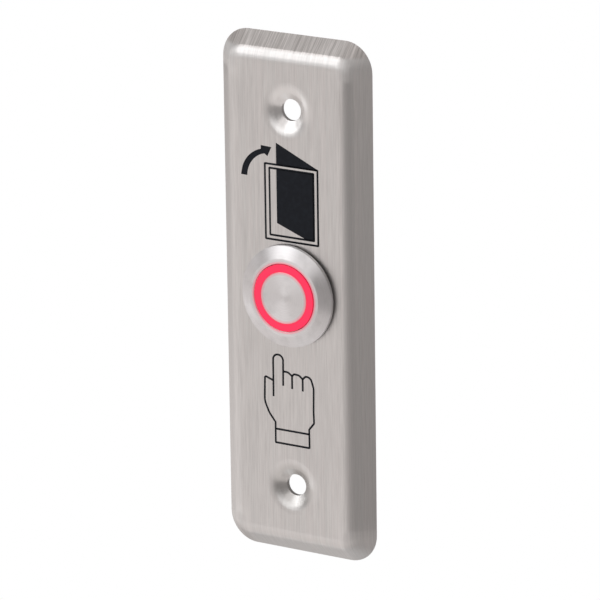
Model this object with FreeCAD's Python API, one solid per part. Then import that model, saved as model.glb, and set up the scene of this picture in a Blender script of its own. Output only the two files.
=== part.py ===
import FreeCAD, Part
import math
import os

# Door exit button: a formed stainless plate that screws to the wall beside a door, with a
# ring-lit push switch held in its middle by a hex nut.
#
# Frame, in millimetres: X to the right, Z up, and the front faces -Y. The origin is the middle
# of the two screw holes, on the plane of the wall, where the plate's rim lies. The switch
# stands on an axis of its own, parallel to Y.

# Faceplate: one sheet, pressed into a shallow pan with slanted sides.
plate_width = 37.0
plate_length = 115.0
plate_rise = 4.2
sheet = 1.2
wall_angle = 46.0
bend_inside_radius = 2.9
flat_corner_radius = 0.8

# Screw holes, each in a soft dimple that lets the screw head lie below the front.
screw_spacing = 83.3
screw_hole_diameter = 4.8
screw_hole_land = 0.9
dimple_angle = 32.0
dimple_depth = 1.6
dimple_bend_inside_radius = 3.4

# Switch housing: head, bevel and threaded barrel, turned from one bar. The thread sets how wide
# the switch's other parts are, and the parts inside set how long the barrel is.
button_height = 1.4
thread_diameter = 19.0
thread_end_chamfer = 0.6
barrel_wall = 1.4
head_overhang = 1.7
head_rim = 0.8
bevel_rise = 1.2
bevel_land = 1.2
head_edge_radius = 0.15
bore_edge = 0.12
bore_depth = 5.9

# Panel seal and hex nut.
seal_thickness = 0.5
seal_set_back = 0.5
panel_hole_clearance = 0.1
nut_sides = 6
nut_wall = 1.5
nut_thickness = 2.5
nut_chamfer_angle = 30.0
nut_bore_clearance = 0.05

# Button: a light guide with a metal cap let into its front, on a plunger.
ring_set_in = 2.15
ring_width = 1.65
button_fit = 0.1
button_proud = 0.15
button_edge = 0.1
cap_thickness = 1.2
cap_fit = 0.02
cap_pin_diameter = 2.0
cap_pin_length = 2.6
guide_floor = 1.2
guide_skirt_wall = 1.3
flange_thickness = 0.8
flange_clearance = 0.1
stop_gap = 0.1
press_travel = 1.5
oring_section = 0.86
oring_fit = 0.02
plunger_head_diameter = 6.8
plunger_head_clearance = 0.1
plunger_head_thickness = 1.0
plunger_diameter = 3.6
plunger_fit = 0.06
plunger_nose_diameter = 2.4

# Both springs' wire is modelled with this many flat sides and the round wire's own area.
wire_facets = 8

# Return spring, around the plunger.
return_wire = 0.45
return_mean_diameter = 4.8
return_turns = 6.0
spring_seat_gap = 0.02

# Lamp board.
board_thickness = 1.0
board_clearance = 0.15
led_count = 6
led_length = 1.6
led_width = 1.0
led_height = 0.7
led_set_in = 1.5
led_head_room = 0.3
resistor_length = 2.0
resistor_width = 1.2
resistor_height = 0.5
resistor_set_in = 3.2
resistor_place_turn = 30.0

# Contact block and the moulded base that closes it.
block_fit = 0.05
block_front_wall = 1.6
spring_recess = 0.4
spring_recess_clearance = 0.3
cavity_half_height = 1.9
cavity_side_clearance = 0.05
base_spigot = 0.6
base_flange = 2.0
base_flange_set_in = 0.4
base_recess = 0.7
base_rim = 0.9
base_pad_height = 0.9
base_pad_margin = 0.6
slot_fit = 0.02

# Terminals and contacts. Their places across the switch are shares of the block's radius.
strip = 0.5
strip_bend_radius = 0.25
lug_width = 2.8
lug_reach = 4.4
lug_hole_diameter = 1.3
lug_hole_inset = 1.9
lug_end_chamfer = 0.6
led_strip = 0.4
led_strip_width = 1.2
led_lug_width = 2.0
led_lug_step = 0.6
led_strip_share = 0.8199
led_strip_proud = 0.3
pivot_share = 0.6211
pivot_barrel_diameter = 1.0
pivot_fit = 0.06
curl_strip = 0.4
curl_half_opening = 60.0
arm_thickness = 0.5
arm_width = 3.0
contact_share = 0.3975
arm_overhang = 0.9
rivet_diameter = 1.5
rivet_head = 0.4
rivet_shank_diameter = 0.8
contact_gap = 0.05
closed_gap = 0.08
nose_gap = 0.1
nose_margin = 0.06
open_rivet_share = 0.323
open_rivet_height = 1.081
open_pad_share = 0.2174
open_leg_share = 0.4969
closed_pad_share = 0.2857
closed_leg_share = 0.8137

# Contact spring, between the arm and the base.
contact_wire = 0.3
contact_mean_diameter = 2.2
contact_turns = 4.5
spring_peg_height = 0.8
spring_peg_clearance = 0.1

# Radii of the switch's parts, from the thread.
thread_radius = thread_diameter / 2
head_radius = thread_radius + head_overhang
seal_radius = head_radius - seal_set_back
nut_apothem = thread_radius + nut_wall
ring_radius = thread_radius - ring_set_in
bevel_inner_radius = ring_radius + bevel_land
bore_radius = ring_radius + button_fit
cap_radius = ring_radius - ring_width
barrel_radius = thread_radius - barrel_wall
base_flange_radius = thread_radius - base_flange_set_in
block_radius = barrel_radius - block_fit
plunger_head_radius = plunger_head_diameter / 2
board_hole_radius = plunger_head_radius + plunger_head_clearance
led_place = barrel_radius - led_set_in
resistor_place = barrel_radius - resistor_set_in
plunger_radius = plunger_diameter / 2
nose_radius = plunger_nose_diameter / 2
pivot_radius = pivot_barrel_diameter / 2
rivet_radius = rivet_diameter / 2
shank_radius = rivet_shank_diameter / 2

# Places across the switch, from the block's radius.
led_strip_place = led_strip_share * block_radius
pivot_offset = pivot_share * block_radius
contact_offset = contact_share * block_radius
open_rivet_offset = open_rivet_share * block_radius
open_pad_inner = open_pad_share * block_radius
open_leg_outer = open_leg_share * block_radius
closed_pad_inner = closed_pad_share * block_radius
closed_leg_outer = closed_leg_share * block_radius

# The arm turns about its barrel until its front face just clears the plunger's nose.
nose_from_pivot = arm_thickness / 2 + nose_gap + nose_radius - press_travel
arm_reach = math.hypot(pivot_offset, nose_from_pivot)
arm_contact = arm_thickness / 2 + nose_radius + nose_margin
arm_swing = math.asin(arm_contact / arm_reach) - math.atan2(nose_from_pivot, pivot_offset)

# How far the rear of the moving rivet comes back at full press.
rivet_reach = pivot_offset + contact_offset + rivet_radius
rivet_depth = arm_thickness / 2 + rivet_head
rivet_travel = rivet_reach * math.sin(arm_swing) + rivet_depth * math.cos(arm_swing)

# Places along the switch's axis, from the wall plane backwards and forwards.
y_front = -plate_rise
y_sheet_back = y_front + sheet
y_head_back = y_front - seal_thickness
y_rim_front = y_head_back - head_rim
y_head_front = y_rim_front - bevel_rise
y_shoulder = y_head_front + bore_depth
y_button_front = y_head_front - button_proud
y_cap_back = y_button_front + cap_thickness
y_floor_back = y_cap_back + guide_floor
y_plunger_head_back = y_floor_back + plunger_head_thickness
y_flange_front = y_shoulder + stop_gap
y_flange_back = y_flange_front + flange_thickness
y_led_front = y_flange_back + press_travel + led_head_room
y_board_front = y_led_front + led_height
y_board_back = y_board_front + board_thickness
y_spring_seat = y_board_back + spring_recess
y_cavity_front = y_board_back + block_front_wall
y_closed_rivet = y_cavity_front + strip + rivet_head
y_arm_front = y_closed_rivet + contact_gap + rivet_head
y_arm_back = y_arm_front + arm_thickness
y_pivot = y_arm_front + arm_thickness / 2
y_open_rivet = y_pivot + rivet_travel + closed_gap
y_base_front = y_open_rivet + open_rivet_height + strip
y_barrel_end = y_base_front + base_spigot
y_base_back = y_barrel_end + base_flange
y_lug_end = y_base_back + lug_reach

ORIGIN = FreeCAD.Vector(0, 0, 0)
ALONG_X = FreeCAD.Vector(1, 0, 0)
ALONG_Y = FreeCAD.Vector(0, 1, 0)
ALONG_Z = FreeCAD.Vector(0, 0, 1)
FULL_TURN = 360
QUARTER_TURN = 90


def point(x, y, z=0.0):
    return FreeCAD.Vector(x, y, z)


def rounded_wire(corners):
    """A closed wire through corners (x, y, radius), with a tangent arc where radius is over 0."""
    ends = []
    arcs = []
    count = len(corners)
    for index, (x, y, radius) in enumerate(corners):
        here = point(x, y)
        before = point(*corners[index - 1][:2])
        after = point(*corners[(index + 1) % count][:2])
        to_before = (before - here).normalize()
        to_after = (after - here).normalize()
        if radius <= 0:
            ends.append((here, here))
            continue
        half = to_before.getAngle(to_after) / 2
        setback = radius / math.tan(half)
        first = here + to_before * setback
        last = here + to_after * setback
        inward = (to_before + to_after).normalize()
        middle = here + inward * (radius / math.sin(half) - radius)
        ends.append((first, last))
        arcs.append(Part.Arc(first, middle, last).toShape())
    lines = []
    for index in range(count):
        start = ends[index][1]
        stop = ends[(index + 1) % count][0]
        lines.append(Part.LineSegment(start, stop).toShape())
    return Part.Wire(Part.__sortEdges__(lines + arcs))


def turned(corners):
    """A solid turned about the switch's axis, from corners (radius, y, rounding)."""
    return Part.Face(rounded_wire(corners)).revolve(ORIGIN, ALONG_Y, FULL_TURN)


def plain(pairs):
    """Corners with no rounding."""
    return [(first, second, 0) for first, second in pairs]


def rod(radius, y_from, y_to, x=0.0, z=0.0):
    """A cylinder along Y."""
    return Part.makeCylinder(radius, y_to - y_from, point(x, y_from, z), ALONG_Y)


def block(x_from, x_to, y_from, y_to, z_from, z_to):
    size = (x_to - x_from, y_to - y_from, z_to - z_from)
    return Part.makeBox(*size, point(x_from, y_from, z_from))


def folded(corners, width):
    """A strip bent in the XY plane, with its width along Z."""
    shape = Part.Face(rounded_wire(corners)).extrude(ALONG_Z * width)
    shape.translate(point(0, 0, -width / 2))
    return shape


def coil(wire, mean_diameter, turns, y_from, y_to):
    """A compression spring along Y, its wire lying between the two seats."""
    facet = 2 * math.pi / wire_facets
    wire_radius = wire / 2 * math.sqrt(facet / math.sin(facet))
    rise = y_to - y_from - 2 * wire_radius
    helix = Part.makeHelix(rise / turns, rise, mean_diameter / 2)
    corners = []
    for index in range(wire_facets + 1):
        turn = facet * index
        across = mean_diameter / 2 + wire_radius * math.cos(turn)
        corners.append(point(across, 0, wire_radius * math.sin(turn)))
    spring = Part.Wire(helix).makePipeShell([Part.makePolygon(corners)], True, True)
    spring.rotate(ORIGIN, ALONG_X, -QUARTER_TURN)
    spring.translate(point(0, y_from + wire_radius, 0))
    return spring


# Faceplate


def pan_side():
    """Numbers of the pan's slanted side: its run across the plate and its outer bend radius."""
    angle = math.radians(wall_angle)
    outer = bend_inside_radius + sheet
    slope = (plate_rise - outer * (1 - math.cos(angle))) / math.tan(angle)
    return outer * math.sin(angle) + slope, outer, angle


def side_section(across, origin, inward):
    """The sheet's section from the rim inwards, ending across millimetres from the outline."""
    run, outer, angle = pan_side()
    centre_y = y_front + outer

    def place(distance, y):
        return origin + inward * distance + ALONG_Y * y

    def on_bend(radius, turn):
        return place(run - radius * math.sin(turn), centre_y - radius * math.cos(turn))

    rim_outer = place(0, 0)
    rim_inner = place(sheet / math.sin(angle), 0)
    flat_outer = place(across, y_front)
    flat_inner = place(across, y_sheet_back)
    edges = [
        Part.LineSegment(rim_outer, on_bend(outer, angle)),
        Part.Arc(on_bend(outer, angle), on_bend(outer, angle / 2), on_bend(outer, 0)),
        Part.LineSegment(on_bend(outer, 0), flat_outer),
        Part.LineSegment(flat_outer, flat_inner),
        Part.LineSegment(flat_inner, on_bend(bend_inside_radius, 0)),
        Part.Arc(
            on_bend(bend_inside_radius, 0),
            on_bend(bend_inside_radius, angle / 2),
            on_bend(bend_inside_radius, angle),
        ),
        Part.LineSegment(on_bend(bend_inside_radius, angle), rim_inner),
        Part.LineSegment(rim_inner, rim_outer),
    ]
    return Part.Face(Part.Wire([edge.toShape() for edge in edges]))


def pan():
    """The pressed pan: four straight sides, four turned corners and the flat between them."""
    corner = pan_side()[0] + flat_corner_radius
    x_axis = plate_width / 2 - corner
    z_axis = plate_length / 2 - corner
    pieces = [block(-x_axis, x_axis, y_front, y_sheet_back, -z_axis, z_axis)]
    for side in (-1, 1):
        upright = side_section(corner, point(side * plate_width / 2, 0, -z_axis), -ALONG_X * side)
        level = side_section(corner, point(-x_axis, 0, side * plate_length / 2), -ALONG_Z * side)
        pieces.append(upright.extrude(ALONG_Z * 2 * z_axis))
        pieces.append(level.extrude(ALONG_X * 2 * x_axis))
        for end in (-1, 1):
            start = point(side * plate_width / 2, 0, end * z_axis)
            axis = point(side * x_axis, 0, end * z_axis)
            turn = -QUARTER_TURN * side * end
            section = side_section(corner, start, -ALONG_X * side)
            pieces.append(section.revolve(axis, ALONG_Y, turn))
    return pieces[0].multiFuse(pieces[1:]).removeSplitter()


def dimple():
    """A screw dimple: the sheet pushed back in a cone with a soft edge, and its outer radius."""
    angle = math.radians(dimple_angle)
    outer = dimple_bend_inside_radius + sheet
    hole = screw_hole_diameter / 2
    lip_front = y_front + dimple_depth
    lip_back = point(hole + sheet * math.sin(angle), lip_front + sheet * math.cos(angle))
    land_end = point(hole, lip_front + screw_hole_land)
    cone_edge = hole + dimple_depth / math.tan(angle)
    reach = cone_edge + outer * math.tan(angle / 2)
    centre_y = y_front + outer

    def on_bend(radius, turn):
        return point(reach - radius * math.sin(turn), centre_y - radius * math.cos(turn))

    edges = [
        Part.LineSegment(point(hole, lip_front), on_bend(outer, angle)),
        Part.Arc(on_bend(outer, angle), on_bend(outer, angle / 2), on_bend(outer, 0)),
        Part.LineSegment(on_bend(outer, 0), on_bend(dimple_bend_inside_radius, 0)),
        Part.Arc(
            on_bend(dimple_bend_inside_radius, 0),
            on_bend(dimple_bend_inside_radius, angle / 2),
            on_bend(dimple_bend_inside_radius, angle),
        ),
        Part.LineSegment(on_bend(dimple_bend_inside_radius, angle), lip_back),
        Part.LineSegment(lip_back, land_end),
        Part.LineSegment(land_end, point(hole, lip_front)),
    ]
    face = Part.Face(Part.Wire([edge.toShape() for edge in edges]))
    return face.revolve(ORIGIN, ALONG_Y, FULL_TURN), reach


def faceplate():
    plate = pan()
    pressed, reach = dimple()
    for side in (-1, 1):
        z = side * screw_spacing / 2
        plate = plate.cut(rod(reach, y_front - sheet, y_sheet_back + sheet, z=z))
        plate = plate.fuse(pressed.translated(point(0, 0, z)))
    hole = thread_radius + panel_hole_clearance
    plate = plate.cut(rod(hole, y_front - sheet, y_sheet_back + sheet, z=button_height))
    return plate.removeSplitter()


# Switch housing, seal and nut


def switch_housing():
    corners = [
        (bore_radius + bore_edge, y_head_front, 0),
        (bevel_inner_radius, y_head_front, 0),
        (head_radius, y_rim_front, head_edge_radius),
        (head_radius, y_head_back, head_edge_radius),
        (thread_radius, y_head_back, 0),
        (thread_radius, y_barrel_end - thread_end_chamfer, 0),
        (thread_radius - thread_end_chamfer, y_barrel_end, 0),
        (barrel_radius, y_barrel_end, 0),
        (barrel_radius, y_shoulder, 0),
        (bore_radius, y_shoulder, 0),
        (bore_radius, y_head_front + bore_edge, 0),
    ]
    return turned(corners)


def panel_seal():
    inner = thread_radius + nut_bore_clearance
    return rod(seal_radius, y_head_back, y_front).cut(rod(inner, y_head_back, y_front))


def hex_nut():
    half_side = math.pi / nut_sides
    corner = nut_apothem / math.cos(half_side)
    points = []
    for index in range(nut_sides + 1):
        turn = half_side * (2 * index + 1)
        points.append(point(corner * math.cos(turn), y_sheet_back, corner * math.sin(turn)))
    prism = Part.Face(Part.makePolygon(points)).extrude(ALONG_Y * nut_thickness)
    y_back = y_sheet_back + nut_thickness
    bore = thread_radius + nut_bore_clearance
    drop = (corner - nut_apothem) * math.tan(math.radians(nut_chamfer_angle))
    outline = turned(plain([
        (bore, y_sheet_back),
        (nut_apothem, y_sheet_back),
        (corner, y_sheet_back + drop),
        (corner, y_back - drop),
        (nut_apothem, y_back),
        (bore, y_back),
    ]))
    return prism.common(outline)


# Button


def button_cap():
    radius = cap_radius - cap_fit
    pin = cap_pin_diameter / 2
    return turned([
        (0, y_button_front, 0),
        (radius, y_button_front, button_edge),
        (radius, y_cap_back, 0),
        (pin, y_cap_back, 0),
        (pin, y_cap_back + cap_pin_length, 0),
        (0, y_cap_back + cap_pin_length, 0),
    ])


def groove_places():
    """The seal's groove in the light guide, level with its floor."""
    middle = (y_cap_back + y_floor_back) / 2
    floor = bore_radius - oring_fit - oring_section - oring_fit
    half = oring_section / 2 + oring_fit
    return middle, floor, middle - half, middle + half


def light_ring():
    flange = barrel_radius - flange_clearance
    skirt = ring_radius - guide_skirt_wall
    pin = cap_pin_diameter / 2 + cap_fit
    _, groove_floor, groove_front, groove_back = groove_places()
    return turned([
        (cap_radius, y_button_front, 0),
        (ring_radius, y_button_front, button_edge),
        (ring_radius, groove_front, 0),
        (groove_floor, groove_front, 0),
        (groove_floor, groove_back, 0),
        (ring_radius, groove_back, 0),
        (ring_radius, y_flange_front, 0),
        (flange, y_flange_front, 0),
        (flange, y_flange_back, 0),
        (skirt, y_flange_back, 0),
        (skirt, y_floor_back, 0),
        (pin, y_floor_back, 0),
        (pin, y_cap_back, 0),
        (cap_radius, y_cap_back, 0),
    ])


def plunger_seal():
    middle, _, _, _ = groove_places()
    radius = bore_radius - oring_fit - oring_section / 2
    ring = Part.makeTorus(radius, oring_section / 2, ORIGIN, ALONG_Y)
    ring.translate(ALONG_Y * middle)
    return ring


def plunger():
    socket = cap_pin_diameter / 2 + cap_fit
    y_socket = y_cap_back + cap_pin_length + cap_fit
    y_nose = y_arm_front - nose_gap - nose_radius
    body = turned(plain([
        (socket, y_floor_back),
        (plunger_head_radius, y_floor_back),
        (plunger_head_radius, y_plunger_head_back),
        (plunger_radius, y_plunger_head_back),
        (plunger_radius, y_cavity_front),
        (nose_radius, y_cavity_front),
        (nose_radius, y_nose),
        (0, y_nose),
        (0, y_socket),
        (socket, y_socket),
    ]))
    return body.fuse(Part.makeSphere(nose_radius, point(0, y_nose, 0))).removeSplitter()


def return_spring():
    y_from = y_plunger_head_back + spring_seat_gap
    y_to = y_spring_seat - spring_seat_gap
    return coil(return_wire, return_mean_diameter, return_turns, y_from, y_to)


# Lamp board


def around(shape, turn):
    """A copy turned about the switch's axis, in degrees."""
    return shape.rotated(ORIGIN, ALONG_Y, turn)


def led_strips_cut(y_from, y_to, clearance):
    """The room that the two lamp strips take between two places."""
    half = led_strip_width / 2 + clearance
    low = led_strip_place - clearance
    high = led_strip_place + led_strip + clearance
    slot = block(-half, half, y_from, y_to, low, high)
    return slot.fuse(slot.mirror(ORIGIN, ALONG_Z))


def led_board():
    ring = rod(barrel_radius - board_clearance, y_board_front, y_board_back)
    ring = ring.cut(rod(board_hole_radius, y_board_front, y_board_back))
    return ring.cut(led_strips_cut(y_board_front, y_board_back, slot_fit))


def led_chips():
    near = led_place - led_width / 2
    far = led_place + led_width / 2
    half = led_length / 2
    chip = block(near, far, y_led_front, y_board_front, -half, half)
    return Part.makeCompound([around(chip, index * FULL_TURN / led_count) for index in range(led_count)])


def led_resistor():
    half = resistor_length / 2
    near = -resistor_place - resistor_width / 2
    far = near + resistor_width
    y_from = y_board_front - resistor_height
    body = block(near, far, y_from, y_board_front, -half, half)
    return around(body, resistor_place_turn)


# Contacts


def rivet(y_from, y_to, y_shank_end, x):
    """A contact rivet: a head between two places and a shank that ends at the third."""
    shank = rod(shank_radius, min(y_from, y_shank_end), max(y_to, y_shank_end), x=x)
    return rod(rivet_radius, y_from, y_to, x=x).fuse(shank).removeSplitter()


def pivot_curl():
    """The half-closed curl that the arm's barrel turns in."""
    inner = pivot_radius + pivot_fit
    outer = inner + curl_strip
    foot = point(-pivot_offset, y_pivot, -lug_width / 2)
    tube = Part.makeCylinder(outer, lug_width, foot, ALONG_Z)
    tube = tube.cut(Part.makeCylinder(inner, lug_width, foot, ALONG_Z))
    reach = 2 * outer
    drop = reach * math.tan(math.radians(curl_half_opening))
    mouth = Part.makePolygon([foot, foot + point(reach, -drop), foot + point(reach, drop), foot])
    return tube.cut(Part.Face(mouth).extrude(ALONG_Z * lug_width))


def lug_finish(terminal, x_middle, width):
    """The solder hole and the clipped corners at the end of a lug that is width wide along Z."""
    drill_start = point(x_middle - strip, y_lug_end - lug_hole_inset, 0)
    terminal = terminal.cut(Part.makeCylinder(lug_hole_diameter / 2, 2 * strip, drill_start, ALONG_X))
    for side in (-1, 1):
        corner = point(x_middle - strip, y_lug_end, side * width / 2)
        clip = Part.makePolygon([
            corner,
            corner - ALONG_Y * lug_end_chamfer,
            corner - ALONG_Z * (side * lug_end_chamfer),
            corner,
        ])
        terminal = terminal.cut(Part.Face(clip).extrude(ALONG_X * 2 * strip))
    return terminal


def common_leg():
    """Where the common terminal's leg lies in X."""
    outer = -pivot_offset - pivot_radius - pivot_fit - curl_strip
    return outer, outer + curl_strip


def terminal_common():
    outer, inner = common_leg()
    leg = block(outer, inner, y_pivot, y_lug_end, -lug_width / 2, lug_width / 2)
    whole = leg.fuse(pivot_curl()).removeSplitter()
    return lug_finish(whole, (outer + inner) / 2, lug_width)


def terminal_normally_closed():
    corners = [
        (closed_pad_inner, y_cavity_front, 0),
        (closed_leg_outer, y_cavity_front, strip_bend_radius + strip),
        (closed_leg_outer, y_lug_end, 0),
        (closed_leg_outer - strip, y_lug_end, 0),
        (closed_leg_outer - strip, y_cavity_front + strip, strip_bend_radius),
        (closed_pad_inner, y_cavity_front + strip, 0),
    ]
    shape = folded(corners, lug_width)
    shape = shape.cut(rod(shank_radius, y_cavity_front, y_cavity_front + strip, x=contact_offset))
    return lug_finish(shape, closed_leg_outer - strip / 2, lug_width)


def terminal_normally_open():
    corners = [
        (open_pad_inner, y_base_front - strip, 0),
        (open_leg_outer, y_base_front - strip, strip_bend_radius + strip),
        (open_leg_outer, y_lug_end, 0),
        (open_leg_outer - strip, y_lug_end, 0),
        (open_leg_outer - strip, y_base_front, 0),
        (open_pad_inner, y_base_front, 0),
    ]
    shape = folded(corners, lug_width)
    shape = shape.cut(rod(shank_radius, y_base_front - strip, y_base_front, x=open_rivet_offset))
    return lug_finish(shape, open_leg_outer - strip / 2, lug_width)


def led_terminal(side):
    """A lamp strip: narrow where it passes the block, wider where the wire is soldered."""
    middle = side * (led_strip_place + led_strip / 2)
    y_start = y_board_front - led_strip_proud
    low = middle - led_strip / 2
    high = middle + led_strip / 2
    half = led_strip_width / 2
    lug_half = led_lug_width / 2
    narrow = block(-half, half, y_start, y_lug_end, low, high)
    lug = block(-lug_half, lug_half, y_base_back + led_lug_step, y_lug_end, low, high)
    whole = narrow.fuse(lug).removeSplitter()
    drill_start = point(0, y_lug_end - lug_hole_inset, middle - strip)
    return whole.cut(Part.makeCylinder(lug_hole_diameter / 2, 2 * strip, drill_start, ALONG_Z))


def terminal_led_plus():
    return led_terminal(1)


def terminal_led_minus():
    return led_terminal(-1)


def fixed_contact_rivets():
    closed = rivet(y_closed_rivet - rivet_head, y_closed_rivet, y_cavity_front, contact_offset)
    opened = rivet(y_open_rivet, y_base_front - strip, y_base_front, open_rivet_offset)
    return Part.makeCompound([closed, opened])


def contact_arm():
    end = contact_offset + arm_overhang
    strip_part = block(-pivot_offset, end, y_arm_front, y_arm_back, -arm_width / 2, arm_width / 2)
    foot = point(-pivot_offset, y_pivot, -arm_width / 2)
    barrel = Part.makeCylinder(pivot_radius, arm_width, foot, ALONG_Z)
    arm = strip_part.fuse(barrel).removeSplitter()
    return arm.cut(rod(shank_radius, y_arm_front, y_arm_back, x=contact_offset))


def moving_contact_rivet():
    front = rod(rivet_radius, y_arm_front - rivet_head, y_arm_front, x=contact_offset)
    back = rod(rivet_radius, y_arm_back, y_arm_back + rivet_head, x=contact_offset)
    shank = rod(shank_radius, y_arm_front, y_arm_back, x=contact_offset)
    return front.multiFuse([shank, back]).removeSplitter()


def contact_spring():
    y_from = y_arm_back + spring_seat_gap
    y_to = y_base_front - spring_seat_gap
    return coil(contact_wire, contact_mean_diameter, contact_turns, y_from, y_to)


# Contact block and base


def contact_block():
    body = rod(block_radius, y_board_back, y_base_front)
    body = body.cut(rod(plunger_radius + plunger_fit, y_board_back, y_cavity_front))
    seat = (return_mean_diameter + return_wire) / 2 + spring_recess_clearance
    body = body.cut(rod(seat, y_board_back, y_spring_seat))
    left = common_leg()[0] - cavity_side_clearance
    right = closed_leg_outer + cavity_side_clearance
    half = cavity_half_height
    body = body.cut(block(left, right, y_cavity_front, y_base_front, -half, half))
    return body.cut(led_strips_cut(y_board_back, y_base_front, slot_fit))


def terminal_slots(margin, y_from, y_to):
    """The rooms of the five terminals, each larger than its terminal by margin all round."""
    half = lug_width / 2 + margin
    rooms = []
    legs = [common_leg()]
    for outer in (open_leg_outer, closed_leg_outer):
        legs.append((outer - strip, outer))
    for low, high in legs:
        rooms.append(block(low - margin, high + margin, y_from, y_to, -half, half))
    rooms.append(led_strips_cut(y_from, y_to, margin))
    return rooms


def terminal_base():
    y_recess = y_base_back - base_recess
    body = turned([
        (0, y_base_front, 0),
        (block_radius, y_base_front, 0),
        (block_radius, y_barrel_end, 0),
        (base_flange_radius, y_barrel_end, 0),
        (base_flange_radius, y_base_back, head_edge_radius),
        (base_flange_radius - base_rim, y_base_back, 0),
        (base_flange_radius - base_rim, y_recess, 0),
        (0, y_recess, 0),
    ])
    for pad in terminal_slots(base_pad_margin, y_recess, y_recess + base_pad_height):
        body = body.fuse(pad)
    peg = (contact_mean_diameter - contact_wire) / 2 - spring_peg_clearance
    body = body.fuse(rod(peg, y_base_front - spring_peg_height, y_base_front))
    for slot in terminal_slots(slot_fit, y_base_front, y_recess + base_pad_height):
        body = body.cut(slot)
    return body.removeSplitter()


SWITCH_PIECES = [
    switch_housing,
    panel_seal,
    hex_nut,
    button_cap,
    light_ring,
    plunger,
    plunger_seal,
    return_spring,
    led_board,
    led_chips,
    led_resistor,
    contact_block,
    terminal_base,
    terminal_common,
    terminal_normally_open,
    terminal_normally_closed,
    terminal_led_plus,
    terminal_led_minus,
    fixed_contact_rivets,
    contact_arm,
    moving_contact_rivet,
    contact_spring,
]


def main():
    os.makedirs("parts", exist_ok=True)
    shapes = {"faceplate": faceplate()}
    for piece in SWITCH_PIECES:
        shapes[piece.__name__] = piece().translated(point(0, 0, button_height))
    for name, shape in shapes.items():
        shape.exportStep(os.path.join("parts", name + ".step"))
    print("press travel %.2f mm, arm swing %.4f degrees" % (press_travel, math.degrees(arm_swing)))
    print("arm pivot at x %.3f, y %.3f, z %.3f" % (-pivot_offset, y_pivot, button_height))
    print("barrel %.3f mm long behind the head" % (y_barrel_end - y_head_back))


main()
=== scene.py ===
import math

import bmesh
import bpy
from mathutils import Matrix, Vector


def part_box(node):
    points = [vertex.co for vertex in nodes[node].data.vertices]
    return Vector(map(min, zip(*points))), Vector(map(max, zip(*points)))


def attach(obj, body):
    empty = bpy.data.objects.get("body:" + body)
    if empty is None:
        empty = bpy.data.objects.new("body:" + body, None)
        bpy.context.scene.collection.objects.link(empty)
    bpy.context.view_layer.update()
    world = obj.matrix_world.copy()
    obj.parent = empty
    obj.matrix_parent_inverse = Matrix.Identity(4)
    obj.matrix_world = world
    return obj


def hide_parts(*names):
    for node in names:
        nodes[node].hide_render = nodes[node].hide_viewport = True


# Door exit button: a pressed stainless wall plate with a ring-lit push switch in its middle and
# two printed signs. Metres throughout; X to the right, Z up, the front faces -Y.
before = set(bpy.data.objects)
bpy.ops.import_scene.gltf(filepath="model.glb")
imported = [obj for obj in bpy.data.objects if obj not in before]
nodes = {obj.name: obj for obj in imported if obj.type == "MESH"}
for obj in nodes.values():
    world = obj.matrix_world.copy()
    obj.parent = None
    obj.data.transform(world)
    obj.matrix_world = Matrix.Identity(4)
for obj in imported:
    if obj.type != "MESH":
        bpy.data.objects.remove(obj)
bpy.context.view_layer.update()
scene = bpy.context.scene
scene.view_settings.view_transform = "Standard"
mm = 0.001


# Camera
# A long lens about a metre away, to the right of the plate and a little above it, rolled by
# under a degree. The picture is taken as 600 by 600, so the sensor's width is the frame's.
lens_mm = 289.236
sensor_mm = 36.0
camera_azimuth = math.radians(31.985)
camera_elevation = math.radians(16.49)
camera_roll = math.radians(-0.813)
camera_distance = 1029.418 * mm
camera_aim = (-0.086 * mm, -0.719 * mm)


def outward(azimuth, elevation):
    """The direction from the object at an azimuth from the front, +X being a quarter turn."""
    level = math.cos(elevation)
    return Vector((math.sin(azimuth) * level, -math.cos(azimuth) * level, math.sin(elevation)))


back = outward(camera_azimuth, camera_elevation)
level_side = Vector((0, 0, 1)).cross(back).normalized()
level_up = back.cross(level_side)
camera_right = level_side * math.cos(camera_roll) + level_up * math.sin(camera_roll)
camera_up = level_up * math.cos(camera_roll) - level_side * math.sin(camera_roll)
camera_data = bpy.data.cameras.new("camera")
camera_data.lens = lens_mm
camera_data.sensor_width = sensor_mm
camera_data.sensor_fit = "HORIZONTAL"
camera = bpy.data.objects.new("camera", camera_data)
scene.collection.objects.link(camera)
place = camera_right * camera_aim[0] + camera_up * camera_aim[1] + back * camera_distance
turn = Matrix((camera_right, camera_up, back)).transposed()
camera.matrix_world = Matrix.Translation(place) @ turn.to_4x4()
scene.camera = camera


# Studio
# White paper below and to the sides, a large softbox at the upper left of the front with its
# spill round it, a narrow strip at the far left and two grey flags at the right, all in a grey
# room, which the bare metal shows.
surroundings = 0.22
# Each card is a soft-edged panel of the world: its azimuth and elevation in degrees, its half
# width and height and its edge as sines, and its level. A later card hides an earlier one.
cards = {
    "table": (-116, -90, 0.80, 0.95, 0.02, 0.85),
    "left table": (-132, -57, 0.29, 0.61, 0.06, 0.60),
    "front paper": (-45, -26, 0.60, 0.39, 0.03, 0.835),
    "left paper": (-77, -26, 0.33, 0.08, 0.02, 1.40),
    "grey flag": (56, -13, 0.72, 0.26, 0.04, 0.26),
    "right paper": (78, -7, 0.44, 0.14, 0.07, 0.56),
    "low flag": (72, -46, 0.36, 0.44, 0.12, 0.26),
    "ceiling": (-72, 74, 0.58, 0.38, 0.12, 0.20),
    "softbox skirt": (-17, 14, 0.35, 0.23, 0.05, 1.45),
    "softbox spill": (15, 34, 0.34, 0.12, 0.03, 1.10),
    "high spill": (12, 56, 0.26, 0.19, 0.06, 1.10),
    "softbox": (-44, 39, 0.29, 0.385, 0.02, 2.15),
    "left strip": (-84, 10, 0.20, 0.09, 0.02, 1.55),
}
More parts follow.
